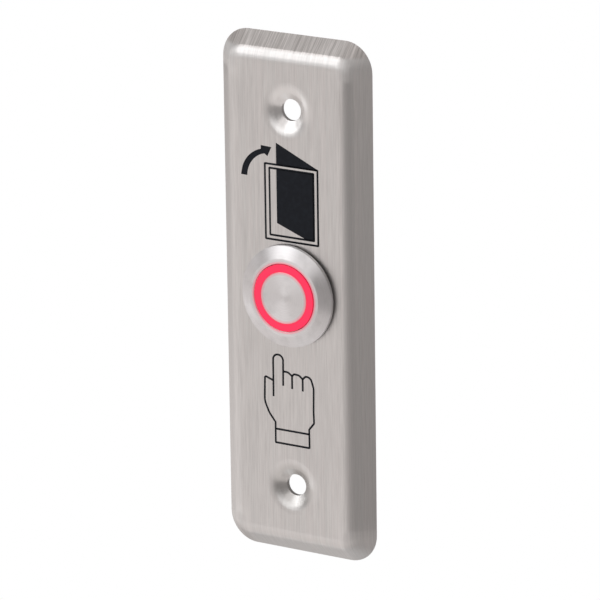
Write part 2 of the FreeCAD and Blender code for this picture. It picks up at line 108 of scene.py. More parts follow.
paper_light_hex = "FFF9F6"
softbox_light_hex = "FFFFFF"
warm_below, neutral_above = 0.9, 1.5
backdrop_white = 1.0
backdrop_half_angle = math.radians(15)
floor_drop = 1.2
floor_size = 1.0
paper_hex = "F4F3F1"
paper_fill = 0.85
paper_fill_level = 1.07


def linear(hex_colour):
    """An sRGB hex colour as linear RGBA."""
    channels = [int(hex_colour[i:i + 2], 16) / 255 for i in (0, 2, 4)]
    return [c / 12.92 if c <= 0.04045 else ((c + 0.055) / 1.055) ** 2.4 for c in channels] + [1.0]


def add(tree, kind, settings=None, links=None, **choices):
    """A node with its choices, its sockets' settings and the links into it."""
    made = tree.nodes.new(kind)
    for name, value in choices.items():
        setattr(made, name, value)
    for socket, value in (settings or {}).items():
        made.inputs[socket].default_value = value
    for socket, source in (links or {}).items():
        tree.links.new(source, made.inputs[socket])
    return made


def seen_directly(tree):
    """Two outputs: whether a camera ray arrives, and whether a mirrored or refracted one does."""
    paths = add(tree, "ShaderNodeLightPath")
    mirrored = add(tree, "ShaderNodeMath", None, {0: paths.outputs["Is Glossy Ray"],
                   1: paths.outputs["Is Transmission Ray"]}, operation="MAXIMUM").outputs[0]
    return paths.outputs["Is Camera Ray"], mirrored


world = bpy.data.worlds.new("white studio")
world.use_nodes = True
scene.world = world
sky = world.node_tree
sky.nodes.clear()
ray = add(sky, "ShaderNodeTexCoord").outputs["Generated"]
light = add(sky, "ShaderNodeValue").outputs[0]
light.default_value = surroundings
for azimuth, elevation, half_width, half_height, edge, card_level in cards.values():
    azimuth, elevation = math.radians(azimuth), math.radians(elevation)
    towards = outward(azimuth, elevation)
    across = outward(azimuth + math.pi / 2, 0)
    upright = outward(azimuth, elevation + math.pi / 2)
    faced = add(sky, "ShaderNodeVectorMath", {1: towards}, {0: ray}, operation="DOT_PRODUCT")
    card = add(sky, "ShaderNodeMath", {1: 0.0}, {0: faced.outputs["Value"]}, operation="GREATER_THAN")
    for direction, half in ((across, half_width), (upright, half_height)):
        offset = add(sky, "ShaderNodeVectorMath", {1: direction}, {0: ray}, operation="DOT_PRODUCT")
        offset = add(sky, "ShaderNodeMath", None, {0: offset.outputs["Value"]}, operation="ABSOLUTE")
        inside = add(sky, "ShaderNodeMapRange", {"From Min": half + edge, "From Max": half - edge},
                     {"Value": offset.outputs[0]}, interpolation_type="SMOOTHSTEP")
        card = add(sky, "ShaderNodeMath", None, {0: card.outputs[0], 1: inside.outputs["Result"]},
                   operation="MULTIPLY")
    light = add(sky, "ShaderNodeMix", {"B": card_level},
                {"Factor": card.outputs[0], "A": light}).outputs[0]

# The camera sees plain white all round, and metal mirrors it from straight behind the object. It
# gives no light of its own.
onwards = add(sky, "ShaderNodeVectorMath", {1: -back}, {0: ray}, operation="DOT_PRODUCT")
in_backdrop = add(sky, "ShaderNodeMath", {1: math.cos(backdrop_half_angle)},
                  {0: onwards.outputs["Value"]}, operation="GREATER_THAN")
by_camera, mirrored = seen_directly(sky)
mirrored = add(sky, "ShaderNodeMath", None, {0: mirrored, 1: in_backdrop.outputs[0]},
               operation="MULTIPLY")
sees_white = add(sky, "ShaderNodeMath", None, {0: mirrored.outputs[0], 1: by_camera},
                 operation="MAXIMUM")

# The papers and the room are a shade warmer than the softbox that lights them.
lamp_share = add(sky, "ShaderNodeMapRange", {"From Min": warm_below, "From Max": neutral_above},
                 {"Value": light})
light_colour = add(sky, "ShaderNodeMix", {"A": linear(paper_light_hex), "B": linear(softbox_light_hex)},
                   {"Factor": lamp_share.outputs["Result"]}, data_type="RGBA")
studio = add(sky, "ShaderNodeBackground", None,
             {"Color": light_colour.outputs["Result"], "Strength": light})
white = add(sky, "ShaderNodeBackground", {"Color": linear("FFFFFF"), "Strength": backdrop_white})
seen = add(sky, "ShaderNodeMixShader", None, {"Fac": sees_white.outputs[0],
           1: studio.outputs[0], 2: white.outputs[0]})
add(sky, "ShaderNodeOutputWorld", None, {"Surface": seen.outputs[0]})

# The floor is a sheet of matt white paper far below the plate. It is seen filled up to white,
# apart from what the object's shadow takes away.
paper = bpy.data.materials.new("matt white paper")
paper.use_nodes = True
tree = paper.node_tree
tree.nodes.clear()
matt = add(tree, "ShaderNodeBsdfDiffuse", {"Color": linear(paper_hex)})
fill = add(tree, "ShaderNodeEmission", {"Color": linear("FFFFFF"), "Strength": paper_fill_level})
by_camera, mirrored = seen_directly(tree)
seen_at_all = add(tree, "ShaderNodeMath", None, {0: by_camera, 1: mirrored}, operation="MAXIMUM")
share = add(tree, "ShaderNodeMath", {1: paper_fill}, {0: seen_at_all.outputs[0]},
            operation="MULTIPLY")
seen = add(tree, "ShaderNodeMixShader", None, {"Fac": share.outputs[0], 1: matt.outputs[0],
           2: fill.outputs[0]})
add(tree, "ShaderNodeOutputMaterial", None, {"Surface": seen.outputs[0]})
floor_mesh = bpy.data.meshes.new("floor")
half_floor = floor_size / 2
floor_corners = ((-half_floor, -half_floor), (half_floor, -half_floor),
                 (half_floor, half_floor), (-half_floor, half_floor))
floor_mesh.from_pydata([(x, y, -floor_drop) for x, y in floor_corners], [], [(0, 1, 2, 3)])
floor_mesh.materials.append(paper)
floor = bpy.data.objects.new("floor", floor_mesh)
scene.collection.objects.link(floor)


# Faceplate
# One sheet of 1.2 mm stainless steel, belt-brushed lengthways as a flat blank and then pressed
# into a shallow pan with two screw dimples, so the grain runs up and down over every bend and
# spreads each highlight sideways. It is drawn about twice as wide as it is, so that it shows.
plate_warm_hex = "E2DFDE"
plate_cool_hex = "DDDCDB"
plate_streak_hex = "C9C6C5"
grain_width = 0.18 * mm
grain_length = 7 * mm
streak_share = 0.6
streak_range = (0.35, 0.75)
band_width = 0.7 * mm
band_length = 90 * mm
grain_depth = 0.0016 * mm
grain_roughness = (0.30, 0.40)
end_streak_width = 0.38 * mm
end_streak_length = 12 * mm
end_streak_range = (0.32, 0.68)
end_streak_hexes = ("AFAAA7", "E9E4E2")
end_streaks_from = 53.9 * mm
end_streaks_full = 54.8 * mm
hole_height = 41.65 * mm
dimple_from = 5.9 * mm
dimple_full = 4.2 * mm
# The dimples' two colours are painted light, the lighter one a painted highlight on the upper dimple.
dimple_painted_light_hexes = ("CDCBC9", "EBE9E8")
dimple_share = 0.8
corner_from = (10.0 * mm, 46.5 * mm)
corner_full = (13.5 * mm, 51.0 * mm)
brushed_anisotropy = 0.8
stretched_anisotropy = 0.5
corner_roughness = 0.55
# Noise seldom leaves these values, so a tint or a gloss is spread over one of them.
noise_core = (0.35, 0.65)
noise_reach = (0.3, 0.7)


def new_surface(name, **sockets):
    """A node material with one Principled shader whose plain sockets are set."""
    material = bpy.data.materials.new(name)
    material.use_nodes = True
    tree = material.node_tree
    shader = tree.nodes["Principled BSDF"]
    for socket, value in sockets.items():
        shader.inputs[socket.replace("_", " ")].default_value = value
    return material, tree, shader


def dress(node, material):
    """Gives a CAD node this material in all of its slots."""
    mesh = nodes[node].data
    if not mesh.materials:
        mesh.materials.append(material)
    for index in range(len(mesh.materials)):
        mesh.materials[index] = material


brushed, tree, shader = new_surface("brushed stainless steel", Metallic=1.0)
spot = add(tree, "ShaderNodeTexCoord").outputs["Object"]
grain = []
for width, length in ((grain_width, grain_length), (band_width, band_length)):
    stretched = add(tree, "ShaderNodeMapping", {"Scale": (1 / width, 1 / length, 1 / length)},
                    {"Vector": spot})
    grain.append(add(tree, "ShaderNodeTexNoise", {"Scale": 1.0, "Detail": 3.0, "Roughness": 0.6},
                     {"Vector": stretched.outputs[0]}).outputs["Fac"])
fine, broad = grain
tint = add(tree, "ShaderNodeMapRange", {"From Min": noise_core[0], "From Max": noise_core[1]},
           {"Value": broad})
warmth = add(tree, "ShaderNodeMix", {"A": linear(plate_cool_hex), "B": linear(plate_warm_hex)},
             {"Factor": tint.outputs["Result"]}, data_type="RGBA")
depth = add(tree, "ShaderNodeMapRange", {"From Min": streak_range[0], "From Max": streak_range[1],
            "To Max": streak_share}, {"Value": fine})
streaked = add(tree, "ShaderNodeMix", {"B": linear(plate_streak_hex)},
               {"Factor": depth.outputs["Result"], "A": warmth.outputs["Result"]}, data_type="RGBA")
# The upper end wall was drawn hardest over the die, which opened its grain into clear streaks.
parts = add(tree, "ShaderNodeSeparateXYZ", None, {0: spot})
at_end = add(tree, "ShaderNodeMapRange", {"From Min": end_streaks_from, "From Max": end_streaks_full},
             {"Value": parts.outputs["Z"]}, interpolation_type="SMOOTHSTEP")
drawn = add(tree, "ShaderNodeMapping", {"Scale": (1 / end_streak_width, 1 / end_streak_length,
            1 / end_streak_length)}, {"Vector": spot})
drawn = add(tree, "ShaderNodeTexNoise", {"Scale": 1.0, "Detail": 4.0, "Roughness": 0.7},
            {"Vector": drawn.outputs[0]})
drawn = add(tree, "ShaderNodeMapRange", {"From Min": end_streak_range[0],
            "From Max": end_streak_range[1]}, {"Value": drawn.outputs["Fac"]})
drawn = add(tree, "ShaderNodeMix", {"A": linear(end_streak_hexes[0]), "B": linear(end_streak_hexes[1])},
            {"Factor": drawn.outputs["Result"]}, data_type="RGBA")
finished = add(tree, "ShaderNodeMix", None, {"Factor": at_end.outputs["Result"],
               "A": streaked.outputs["Result"], "B": drawn.outputs["Result"]}, data_type="RGBA")
# The punch that pressed the screw dimples burnished them, so they are less lined. Their colour is
# painted light: the upper one is painted brighter than the lower one, a painted highlight.
height = add(tree, "ShaderNodeMath", None, {0: parts.outputs["Z"]}, operation="ABSOLUTE").outputs[0]
off_hole = add(tree, "ShaderNodeMath", {1: hole_height}, {0: height}, operation="SUBTRACT")
off_hole = add(tree, "ShaderNodeCombineXYZ", None, {"X": parts.outputs["X"], "Z": off_hole.outputs[0]})
off_hole = add(tree, "ShaderNodeVectorMath", None, {0: off_hole.outputs[0]}, operation="LENGTH")
dimple_zone = add(tree, "ShaderNodeMapRange", {"From Min": dimple_from, "From Max": dimple_full,
                "To Max": dimple_share}, {"Value": off_hole.outputs["Value"]},
                interpolation_type="SMOOTHSTEP")
is_upper = add(tree, "ShaderNodeMath", {1: 0.0}, {0: parts.outputs["Z"]}, operation="GREATER_THAN")
dimple_painted_light = add(tree, "ShaderNodeMix", {"A": linear(dimple_painted_light_hexes[0]), "B": linear(dimple_painted_light_hexes[1])},
              {"Factor": is_upper.outputs[0]}, data_type="RGBA")
finished = add(tree, "ShaderNodeMix", None, {"Factor": dimple_zone.outputs["Result"],
               "A": finished.outputs["Result"], "B": dimple_painted_light.outputs["Result"]}, data_type="RGBA")
# The corners stretched most in the press, which left them duller and blurred their grain as well.
side = add(tree, "ShaderNodeMath", None, {0: parts.outputs["X"]}, operation="ABSOLUTE").outputs[0]
near_corner = []
for reach, start, full in zip((side, height), corner_from, corner_full):
    near = add(tree, "ShaderNodeMapRange", {"From Min": start, "From Max": full}, {"Value": reach},
               interpolation_type="SMOOTHSTEP")
    near_corner.append(near.outputs["Result"])
at_corner = add(tree, "ShaderNodeMath", None, {0: near_corner[0], 1: near_corner[1]},
                operation="MULTIPLY")
stretched = add(tree, "ShaderNodeMath", None, {0: dimple_zone.outputs["Result"],
                1: at_corner.outputs[0]}, operation="MAXIMUM")
lining = add(tree, "ShaderNodeMapRange", {"To Min": brushed_anisotropy,
             "To Max": stretched_anisotropy}, {"Value": stretched.outputs[0]})
tree.links.new(lining.outputs["Result"], shader.inputs["Anisotropic"])
gloss = add(tree, "ShaderNodeMapRange", {"From Min": noise_reach[0], "From Max": noise_reach[1],
            "To Min": grain_roughness[0], "To Max": grain_roughness[1]}, {"Value": fine})
relief = add(tree, "ShaderNodeBump", {"Strength": 1.0, "Distance": grain_depth}, {"Height": fine})
sideways = add(tree, "ShaderNodeCombineXYZ", {"X": 1.0})
dulled = add(tree, "ShaderNodeMath", {1: corner_roughness}, {0: at_corner.outputs[0]},
             operation="MULTIPLY")
dulled = add(tree, "ShaderNodeMath", None, {0: gloss.outputs["Result"], 1: dulled.outputs[0]},
             operation="MAXIMUM")
tree.links.new(finished.outputs["Result"], shader.inputs["Base Color"])
tree.links.new(dulled.outputs[0], shader.inputs["Roughness"])
tree.links.new(relief.outputs[0], shader.inputs["Normal"])
tree.links.new(sideways.outputs[0], shader.inputs["Tangent"])
dress("faceplate", brushed)


# Printed signs
# Screen-printed black enamel, a few hundredths of a millimetre thick: an open door with an
# arrow above the switch, and a hand that points up at it below. The lines follow paths.
ink_hex = "12161E"
ink_worn_hex = "1A1F27"
ink_thickness = 0.03 * mm
ink_keyed_in = 0.005 * mm
ink_patches_per_mm = 0.9
ink_worn_range = (0.45, 0.8)
line_width = 0.44 * mm
line_bend_steps = 7
arc_steps = 12
plate_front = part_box("faceplate")[0].y
ink_middle = plate_front - ink_thickness / 2 + ink_keyed_in

ink, tree, shader = new_surface("screen-printed enamel", Roughness=0.5, Specular_IOR_Level=0.15)
spot = add(tree, "ShaderNodeTexCoord").outputs["Object"]
cloud = add(tree, "ShaderNodeTexNoise", {"Scale": ink_patches_per_mm / mm, "Detail": 4.0},
            {"Vector": spot})
worn = add(tree, "ShaderNodeMapRange", {"From Min": ink_worn_range[0], "From Max": ink_worn_range[1]},
           {"Value": cloud.outputs["Fac"]})
enamel = add(tree, "ShaderNodeMix", {"A": linear(ink_hex), "B": linear(ink_worn_hex)},
             {"Factor": worn.outputs["Result"]}, data_type="RGBA")
tree.links.new(enamel.outputs["Result"], shader.inputs["Base Color"])

# Each line is a closed or open run of corners (x, z, bend radius) in millimetres.
sign_lines = {
    "door_frame_outer": (True, [
        (-5.80, 13.23, 0.1), (7.27, 13.23, 0.1), (7.27, 29.75, 0.1), (-5.80, 29.75, 0.1)]),
    "door_frame_inner": (True, [
        (-4.69, 14.2, 0.1), (6.25, 14.2, 0.1), (6.25, 28.88, 0.1), (-4.69, 28.88, 0.1)]),
    "hand_index_finger": (False, [
        (-4.52, -21.83, 0), (-4.49, -12.15, 1.2), (-1.98, -12.45, 1.2), (-2.04, -19.1, 0)]),
    "hand_thumb": (False, [
        (-4.5, -18.26, 0), (-6.62, -17.55, 0.3), (-6.78, -23.2, 4.0), (-5.6, -25.75, 4.0),
        (-4.12, -27.55, 0.3), (-4.14, -32.15, 0.1), (4.4, -32.15, 0.1), (4.37, -27.98, 0.4),
        (5.62, -26.45, 0.5), (5.53, -24.0, 3.0), (5.62, -18.6, 2.5), (4.85, -16.2, 1.2),
        (3.55, -16.25, 0.5), (2.9, -16.95, 0)]),
    "hand_second_finger": (False, [(-1.98, -15.87, 0), (-0.75, -15.92, 1.2), (0.22, -16.62, 0)]),
    "hand_third_finger": (False, [
        (0.22, -16.62, 0), (0.75, -16.1, 0.4), (2.0, -16.2, 1.2), (2.9, -16.95, 0)]),
    "hand_second_gap": (False, [(0.22, -16.5, 0), (0.22, -19.49, 0)]),
    "hand_third_gap": (False, [(2.9, -16.85, 0), (2.89, -19.64, 0)]),
    "hand_cuff": (False, [(-4.13, -29.06, 0), (4.38, -29.06, 0)]),
}


def new_group(name, inputs):
    """An empty Geometry Nodes tree with a geometry input and output and named number inputs."""
    group = bpy.data.node_groups.new(name, "GeometryNodeTree")
    group.interface.new_socket("Geometry", in_out="INPUT", socket_type="NodeSocketGeometry")
    for socket, kind in inputs.items():
        group.interface.new_socket(socket, in_out="INPUT", socket_type=kind)
    group.interface.new_socket("Geometry", in_out="OUTPUT", socket_type="NodeSocketGeometry")
    return group, add(group, "NodeGroupInput"), add(group, "NodeGroupOutput")


def grown(name, mesh, group, **values):
    """A plain mesh object: the mesh run through a Geometry Nodes tree with these input values."""
    carrier = bpy.data.objects.new(name, mesh)
    scene.collection.objects.link(carrier)
    modifier = carrier.modifiers.new("shape", "NODES")
    modifier.node_group = group
    for item in group.interface.items_tree:
        if item.in_out == "INPUT" and item.name in values:
            modifier[item.identifier] = values[item.name]
    bpy.context.view_layer.update()
    evaluated = carrier.evaluated_get(bpy.context.evaluated_depsgraph_get())
    carrier_mesh = bpy.data.meshes.new_from_object(evaluated)
    carrier.modifiers.clear()
    carrier.data = carrier_mesh
    carrier_mesh.name = name
    return carrier


line_group, given, result = new_group("printed line", {"Width": "NodeSocketFloat",
                                      "Thickness": "NodeSocketFloat", "Ink": "NodeSocketMaterial"})
bend = add(line_group, "GeometryNodeInputNamedAttribute", {"Name": "bend"}, data_type="FLOAT")
path = add(line_group, "GeometryNodeMeshToCurve", None, {"Mesh": given.outputs["Geometry"]})
bent = add(line_group, "GeometryNodeFilletCurve", {"Count": line_bend_steps, "Limit Radius": True},
           {"Curve": path.outputs[0], "Radius": bend.outputs["Attribute"]}, mode="POLY")
level_path = add(line_group, "GeometryNodeSetCurveNormal", None, {"Curve": bent.outputs[0]},
                 mode="Z_UP")
section = add(line_group, "GeometryNodeCurvePrimitiveQuadrilateral", None,
              {"Width": given.outputs["Width"], "Height": given.outputs["Thickness"]}, mode="RECTANGLE")
ribbon = add(line_group, "GeometryNodeCurveToMesh", {"Fill Caps": True},
             {"Curve": level_path.outputs[0], "Profile Curve": section.outputs[0]})
upright = add(line_group, "GeometryNodeTransform", {"Rotation": (math.pi / 2, 0, 0),
              "Translation": (0, ink_middle, 0)}, {"Geometry": ribbon.outputs[0]})
real = add(line_group, "GeometryNodeRealizeInstances", None, {"Geometry": upright.outputs[0]})
inked = add(line_group, "GeometryNodeSetMaterial", None, {"Geometry": real.outputs[0],
            "Material": given.outputs["Ink"]})
line_group.links.new(inked.outputs[0], result.inputs["Geometry"])

for name, (closed, corners) in sign_lines.items():
    mesh = bpy.data.meshes.new(name)
    count = len(corners)
    runs = [(i, (i + 1) % count) for i in range(count if closed else count - 1)]
    mesh.from_pydata([(x * mm, z * mm, 0) for x, z, _ in corners], runs, [])
    radii = mesh.attributes.new("bend", "FLOAT", "POINT")
    radii.data.foreach_set("value", [radius * mm for _, _, radius in corners])
    line = grown(name, mesh, line_group, Width=line_width, Thickness=ink_thickness, Ink=ink)
    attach(line, "plate")


def arc(x, z, radius, start, stop):
    """Points on an arc about (x, z), with angles in degrees from +X."""
    turns = [math.radians(start + (stop - start) * i / arc_steps) for i in range(arc_steps + 1)]
    return [(x + radius * math.cos(a), z + radius * math.sin(a)) for a in turns]


def slab(name, outlines, front_y, back_y, material, body):
    """A flat piece between two depths, made of closed outlines of points (x, z) in millimetres."""
    shape = bmesh.new()
    for outline in outlines:
        front = [shape.verts.new((x * mm, front_y, z * mm)) for x, z in outline]
        rear = [shape.verts.new((x * mm, back_y, z * mm)) for x, z in outline]
        shape.faces.new(front)
        shape.faces.new(rear[::-1])
        for i in range(len(outline)):
            j = (i + 1) % len(outline)
            shape.faces.new((front[i], rear[i], rear[j], front[j]))
    bmesh.ops.recalc_face_normals(shape, faces=shape.faces)
    bmesh.ops.triangulate(shape, faces=[face for face in shape.faces if len(face.verts) > 4])
    mesh = bpy.data.meshes.new(name)
    shape.to_mesh(mesh)
    shape.free()
    mesh.materials.append(material)
    piece = bpy.data.objects.new(name, mesh)
    scene.collection.objects.link(piece)
    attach(piece, body)


door_top = [(-2.95, 34.55), (7.45, 29.8), (7.27, 29.6), (-2.95, 29.6)]
door_leaf = [(-2.95, 28.85), (6.25, 28.85), (6.25, 14.2), (4.4, 14.2), (-2.95, 16.95)]
arrow_tip = [(-6.74, 33.57), (-4.12, 33.44), (-5.11, 31.35)]
arrow = [(-11.8, 26.62)] + arc(-4.95, 26.15, radius=6.85, start=160, stop=105) + arrow_tip
arrow += arc(-4.6, 26.35, radius=5.65, start=103, stop=178)
ink_front = ink_middle - ink_thickness / 2
ink_back = ink_middle + ink_thickness / 2
slab("door_leaf", [door_top, door_leaf], ink_front, ink_back, ink, "plate")
slab("door_arrow", [arrow], ink_front, ink_back, ink, "plate")


# Switch housing
# Head, bevel and barrel turned from one stainless bar, with a 1 mm pitch thread cut on the
# barrel. The lathe leaves fine circles about the switch's axis, drawn here about twice as wide as
# they are, which catch the light in fans. Handling leaves faint duller patches.
switch_height = 1.4 * mm
housing_low, housing_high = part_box("switch_housing")
turned_light_hex = "E6E4E5"
turned_dark_hex = "D6D4D5"
handled_hex = "BDBCBC"
handled_patch = 2.2 * mm
handled_share = 0.35
handled_range = (0.5, 0.75)
turn_mark_width = 0.11 * mm
turn_mark_depth = 0.0010 * mm
turned_roughness = (0.39, 0.47)
faced_anisotropy = 0.55
generatrix_lean = 0.5
ring_inner = 5.70 * mm
ring_outer = 7.35 * mm
# The pink round the ring on the metal is painted glow, a stand-in for the ring's light on it.
glow_reach = 0.8 * mm
glow_gap = 0.22 * mm
glow_hex = "FF3A60"
glow_level = 0.13
glow_tint_hex = "EAB0B8"
glow_back = 3.0 * mm

turned, tree, shader = new_surface("turned stainless steel", Metallic=1.0, Anisotropic=0.75)
spot = add(tree, "ShaderNodeTexCoord").outputs["Object"]
centred = add(tree, "ShaderNodeMapping", {"Location": (0, 0, -switch_height)}, {"Vector": spot})
parts = add(tree, "ShaderNodeSeparateXYZ", None, {0: centred.outputs[0]})
radial = add(tree, "ShaderNodeCombineXYZ", None, {"X": parts.outputs["X"], "Z": parts.outputs["Z"]})
radius = add(tree, "ShaderNodeVectorMath", None, {0: radial.outputs[0]}, operation="LENGTH")
radius = radius.outputs["Value"]
along = add(tree, "ShaderNodeMath", None, {0: radius, 1: parts.outputs["Y"]}, operation="ADD")
marks = add(tree, "ShaderNodeMath", {1: 1 / turn_mark_width}, {0: along.outputs[0]},
            operation="MULTIPLY")
rings = add(tree, "ShaderNodeTexNoise", {"Scale": 1.0, "Detail": 2.0}, {"W": marks.outputs[0]},
            noise_dimensions="1D").outputs["Fac"]
shade = add(tree, "ShaderNodeMapRange", {"From Min": noise_reach[0], "From Max": noise_reach[1]},
            {"Value": rings})
metal = add(tree, "ShaderNodeMix", {"A": linear(turned_dark_hex), "B": linear(turned_light_hex)},
            {"Factor": shade.outputs["Result"]}, data_type="RGBA")
handled = add(tree, "ShaderNodeTexNoise", {"Scale": 1 / handled_patch, "Detail": 3.0}, {"Vector": spot})
handled = add(tree, "ShaderNodeMapRange", {"From Min": handled_range[0],
              "From Max": handled_range[1], "To Max": handled_share}, {"Value": handled.outputs["Fac"]})
metal = add(tree, "ShaderNodeMix", {"B": linear(handled_hex)},
            {"Factor": handled.outputs["Result"], "A": metal.outputs["Result"]}, data_type="RGBA")
gloss = add(tree, "ShaderNodeMapRange", {"From Min": noise_reach[0], "From Max": noise_reach[1],
            "To Min": turned_roughness[0], "To Max": turned_roughness[1]}, {"Value": rings})
relief = add(tree, "ShaderNodeBump", {"Strength": 1.0, "Distance": turn_mark_depth}, {"Height": rings})
direction = add(tree, "ShaderNodeVectorMath", None, {0: radial.outputs[0]}, operation="NORMALIZE")
leaning = add(tree, "ShaderNodeVectorMath", {1: (0, generatrix_lean, 0)}, {0: direction.outputs[0]},
              operation="ADD")
# Painted glow: the metal on both sides of the lit ring is tinted pink and given a faint emission of its
# own, which stands in for the ring's light falling on it. The dark gap round it stays dark.
sides = []
for faint, full, side in ((ring_outer + glow_reach, ring_outer + glow_gap, "GREATER_THAN"),
                          (ring_inner - glow_reach, ring_inner, "LESS_THAN")):
    near = add(tree, "ShaderNodeMapRange", {"From Min": faint, "From Max": full}, {"Value": radius},
               interpolation_type="SMOOTHSTEP")
    beside = add(tree, "ShaderNodeMath", {1: full}, {0: radius}, operation=side)
    sides.append(add(tree, "ShaderNodeMath", None, {0: near.outputs["Result"], 1: beside.outputs[0]},
                     operation="MULTIPLY").outputs[0])
painted_glow = add(tree, "ShaderNodeMath", None, {0: sides[0], 1: sides[1]}, operation="ADD")
in_front = add(tree, "ShaderNodeMath", {1: housing_low.y + glow_back}, {0: parts.outputs["Y"]},
               operation="LESS_THAN")
painted_glow = add(tree, "ShaderNodeMath", None, {0: painted_glow.outputs[0], 1: in_front.outputs[0]},
            operation="MULTIPLY")
glow = add(tree, "ShaderNodeMix", {"A": linear("000000"), "B": linear(glow_hex)},
           {"Factor": painted_glow.outputs[0]}, data_type="RGBA")
glow_tinted = add(tree, "ShaderNodeMix", {"B": linear(glow_tint_hex)},
              {"Factor": painted_glow.outputs[0], "A": metal.outputs["Result"]}, data_type="RGBA")
shader.inputs["Emission Strength"].default_value = glow_level
tree.links.new(glow_tinted.outputs["Result"], shader.inputs["Base Color"])
tree.links.new(gloss.outputs["Result"], shader.inputs["Roughness"])
tree.links.new(relief.outputs[0], shader.inputs["Normal"])
tree.links.new(leaning.outputs[0], shader.inputs["Tangent"])
tree.links.new(glow.outputs["Result"], shader.inputs["Emission Color"])

# The cap and the flat land round the ring were faced with a finer feed, which spreads the light
# more evenly over them.
faced = turned.copy()
faced.name = "faced stainless steel"
faced.node_tree.nodes["Principled BSDF"].inputs["Anisotropic"].default_value = faced_anisotropy

# The barrel carries an M19 by 1 thread: a body turned to its root, and a ridge wound round it.
thread_pitch = 1.0 * mm
thread_radius = 9.5 * mm
thread_depth = 0.61 * mm
thread_root_radius = thread_radius - thread_depth
thread_crest_width = 0.14 * mm
thread_sink = 0.05 * mm
thread_steps = 60
thread_end_chamfer = 0.6 * mm
thread_start = 0.85 * mm
head_radius = housing_high.x
head_rim = 0.8 * mm
bevel_rise = 1.2 * mm
bevel_inner_radius = 8.55 * mm
head_edge_radius = 0.15 * mm
bevel_edge_radius = 0.075 * mm
bore_radius = 7.45 * mm
bore_edge = 0.12 * mm
bore_depth = 5.9 * mm
barrel_inner_radius = 8.1 * mm
turned_steps = 180
edge_steps = 5
sharp_angle = math.radians(20)


def eased(corners):
    """Corners (radius, y, rounding), with each one that is rounded drawn as a short curve."""
    points = []
    for index, (radius, y, rounding) in enumerate(corners):
        here = Vector((radius, y))
        before = Vector(corners[index - 1][:2]) - here
        after = Vector(corners[(index + 1) % len(corners)][:2]) - here
        if not rounding:
            points.append(here)
            continue
        setback = rounding / math.tan(before.angle(after) / 2)
        first = here + before.normalized() * setback
        last = here + after.normalized() * setback
        for step in range(edge_steps + 1):
            t = step / edge_steps
            points.append(first * (1 - t) ** 2 + here * 2 * t * (1 - t) + last * t ** 2)
    return points


def turned_mesh(name, corners):
    """A closed ring turned about the switch's axis, from corners (radius, y, rounding)."""
    section = eased(corners)
    shape = bmesh.new()
    rounds = []
    for step in range(turned_steps):
        turn = 2 * math.pi * step / turned_steps
        side, rise = math.sin(turn), math.cos(turn)
        rounds.append([shape.verts.new((radius * side, y, switch_height + radius * rise))
                       for radius, y in section])
    for step, here in enumerate(rounds):
        following = rounds[(step + 1) % turned_steps]
        for i in range(len(section)):
            j = (i + 1) % len(section)
            shape.faces.new((here[i], here[j], following[j], following[i]))
    bmesh.ops.recalc_face_normals(shape, faces=shape.faces)
    mesh = bpy.data.meshes.new(name)
    shape.to_mesh(mesh)
    shape.free()
    return mesh


head_front = housing_low.y
barrel_end = housing_high.y
rim_front = head_front + bevel_rise
head_back = rim_front + head_rim
shoulder = head_front + bore_depth
housing_body = turned_mesh("threaded_housing", [
    (bore_radius + bore_edge, head_front, 0),
    (bevel_inner_radius, head_front, bevel_edge_radius),
    (head_radius, rim_front, head_edge_radius),
    (head_radius, head_back, head_edge_radius),
    (thread_root_radius, head_back, 0),
    (thread_root_radius, barrel_end, 0),
    (barrel_inner_radius, barrel_end, 0),
    (barrel_inner_radius, shoulder, 0),
    (bore_radius, shoulder, 0),
    (bore_radius, head_front + bore_edge, 0),
])

ridge_from = head_back + thread_start
ridge_length = barrel_end - thread_pitch / 2 - ridge_from
thread_group, given, result = new_group("wound thread", {
    "Radius": "NodeSocketFloat", "Length": "NodeSocketFloat", "Turns": "NodeSocketFloat",
    "Start": "NodeSocketFloat", "Chamfer": "NodeSocketFloat", "Metal": "NodeSocketMaterial"})
helix = add(thread_group, "GeometryNodeCurveSpiral", {"Resolution": thread_steps},
            {"Rotations": given.outputs["Turns"], "Start Radius": given.outputs["Radius"],
             "End Radius": given.outputs["Radius"], "Height": given.outputs["Length"]})
level_helix = add(thread_group, "GeometryNodeSetCurveNormal", None, {"Curve": helix.outputs[0]},
                  mode="Z_UP")
half_pitch = thread_pitch / 2 - thread_sink
half_crest = thread_crest_width / 2
tooth = add(thread_group, "GeometryNodeCurvePrimitiveQuadrilateral", {
    "Point 1": (thread_sink, half_pitch, 0), "Point 2": (-thread_depth, half_crest, 0),
    "Point 3": (-thread_depth, -half_crest, 0), "Point 4": (thread_sink, -half_pitch, 0)}, mode="POINTS")
ridge = add(thread_group, "GeometryNodeCurveToMesh", {"Fill Caps": True},
            {"Curve": level_helix.outputs[0], "Profile Curve": tooth.outputs[0]})
spot = add(thread_group, "GeometryNodeInputPosition").outputs[0]
parts = add(thread_group, "ShaderNodeSeparateXYZ", None, {0: spot})
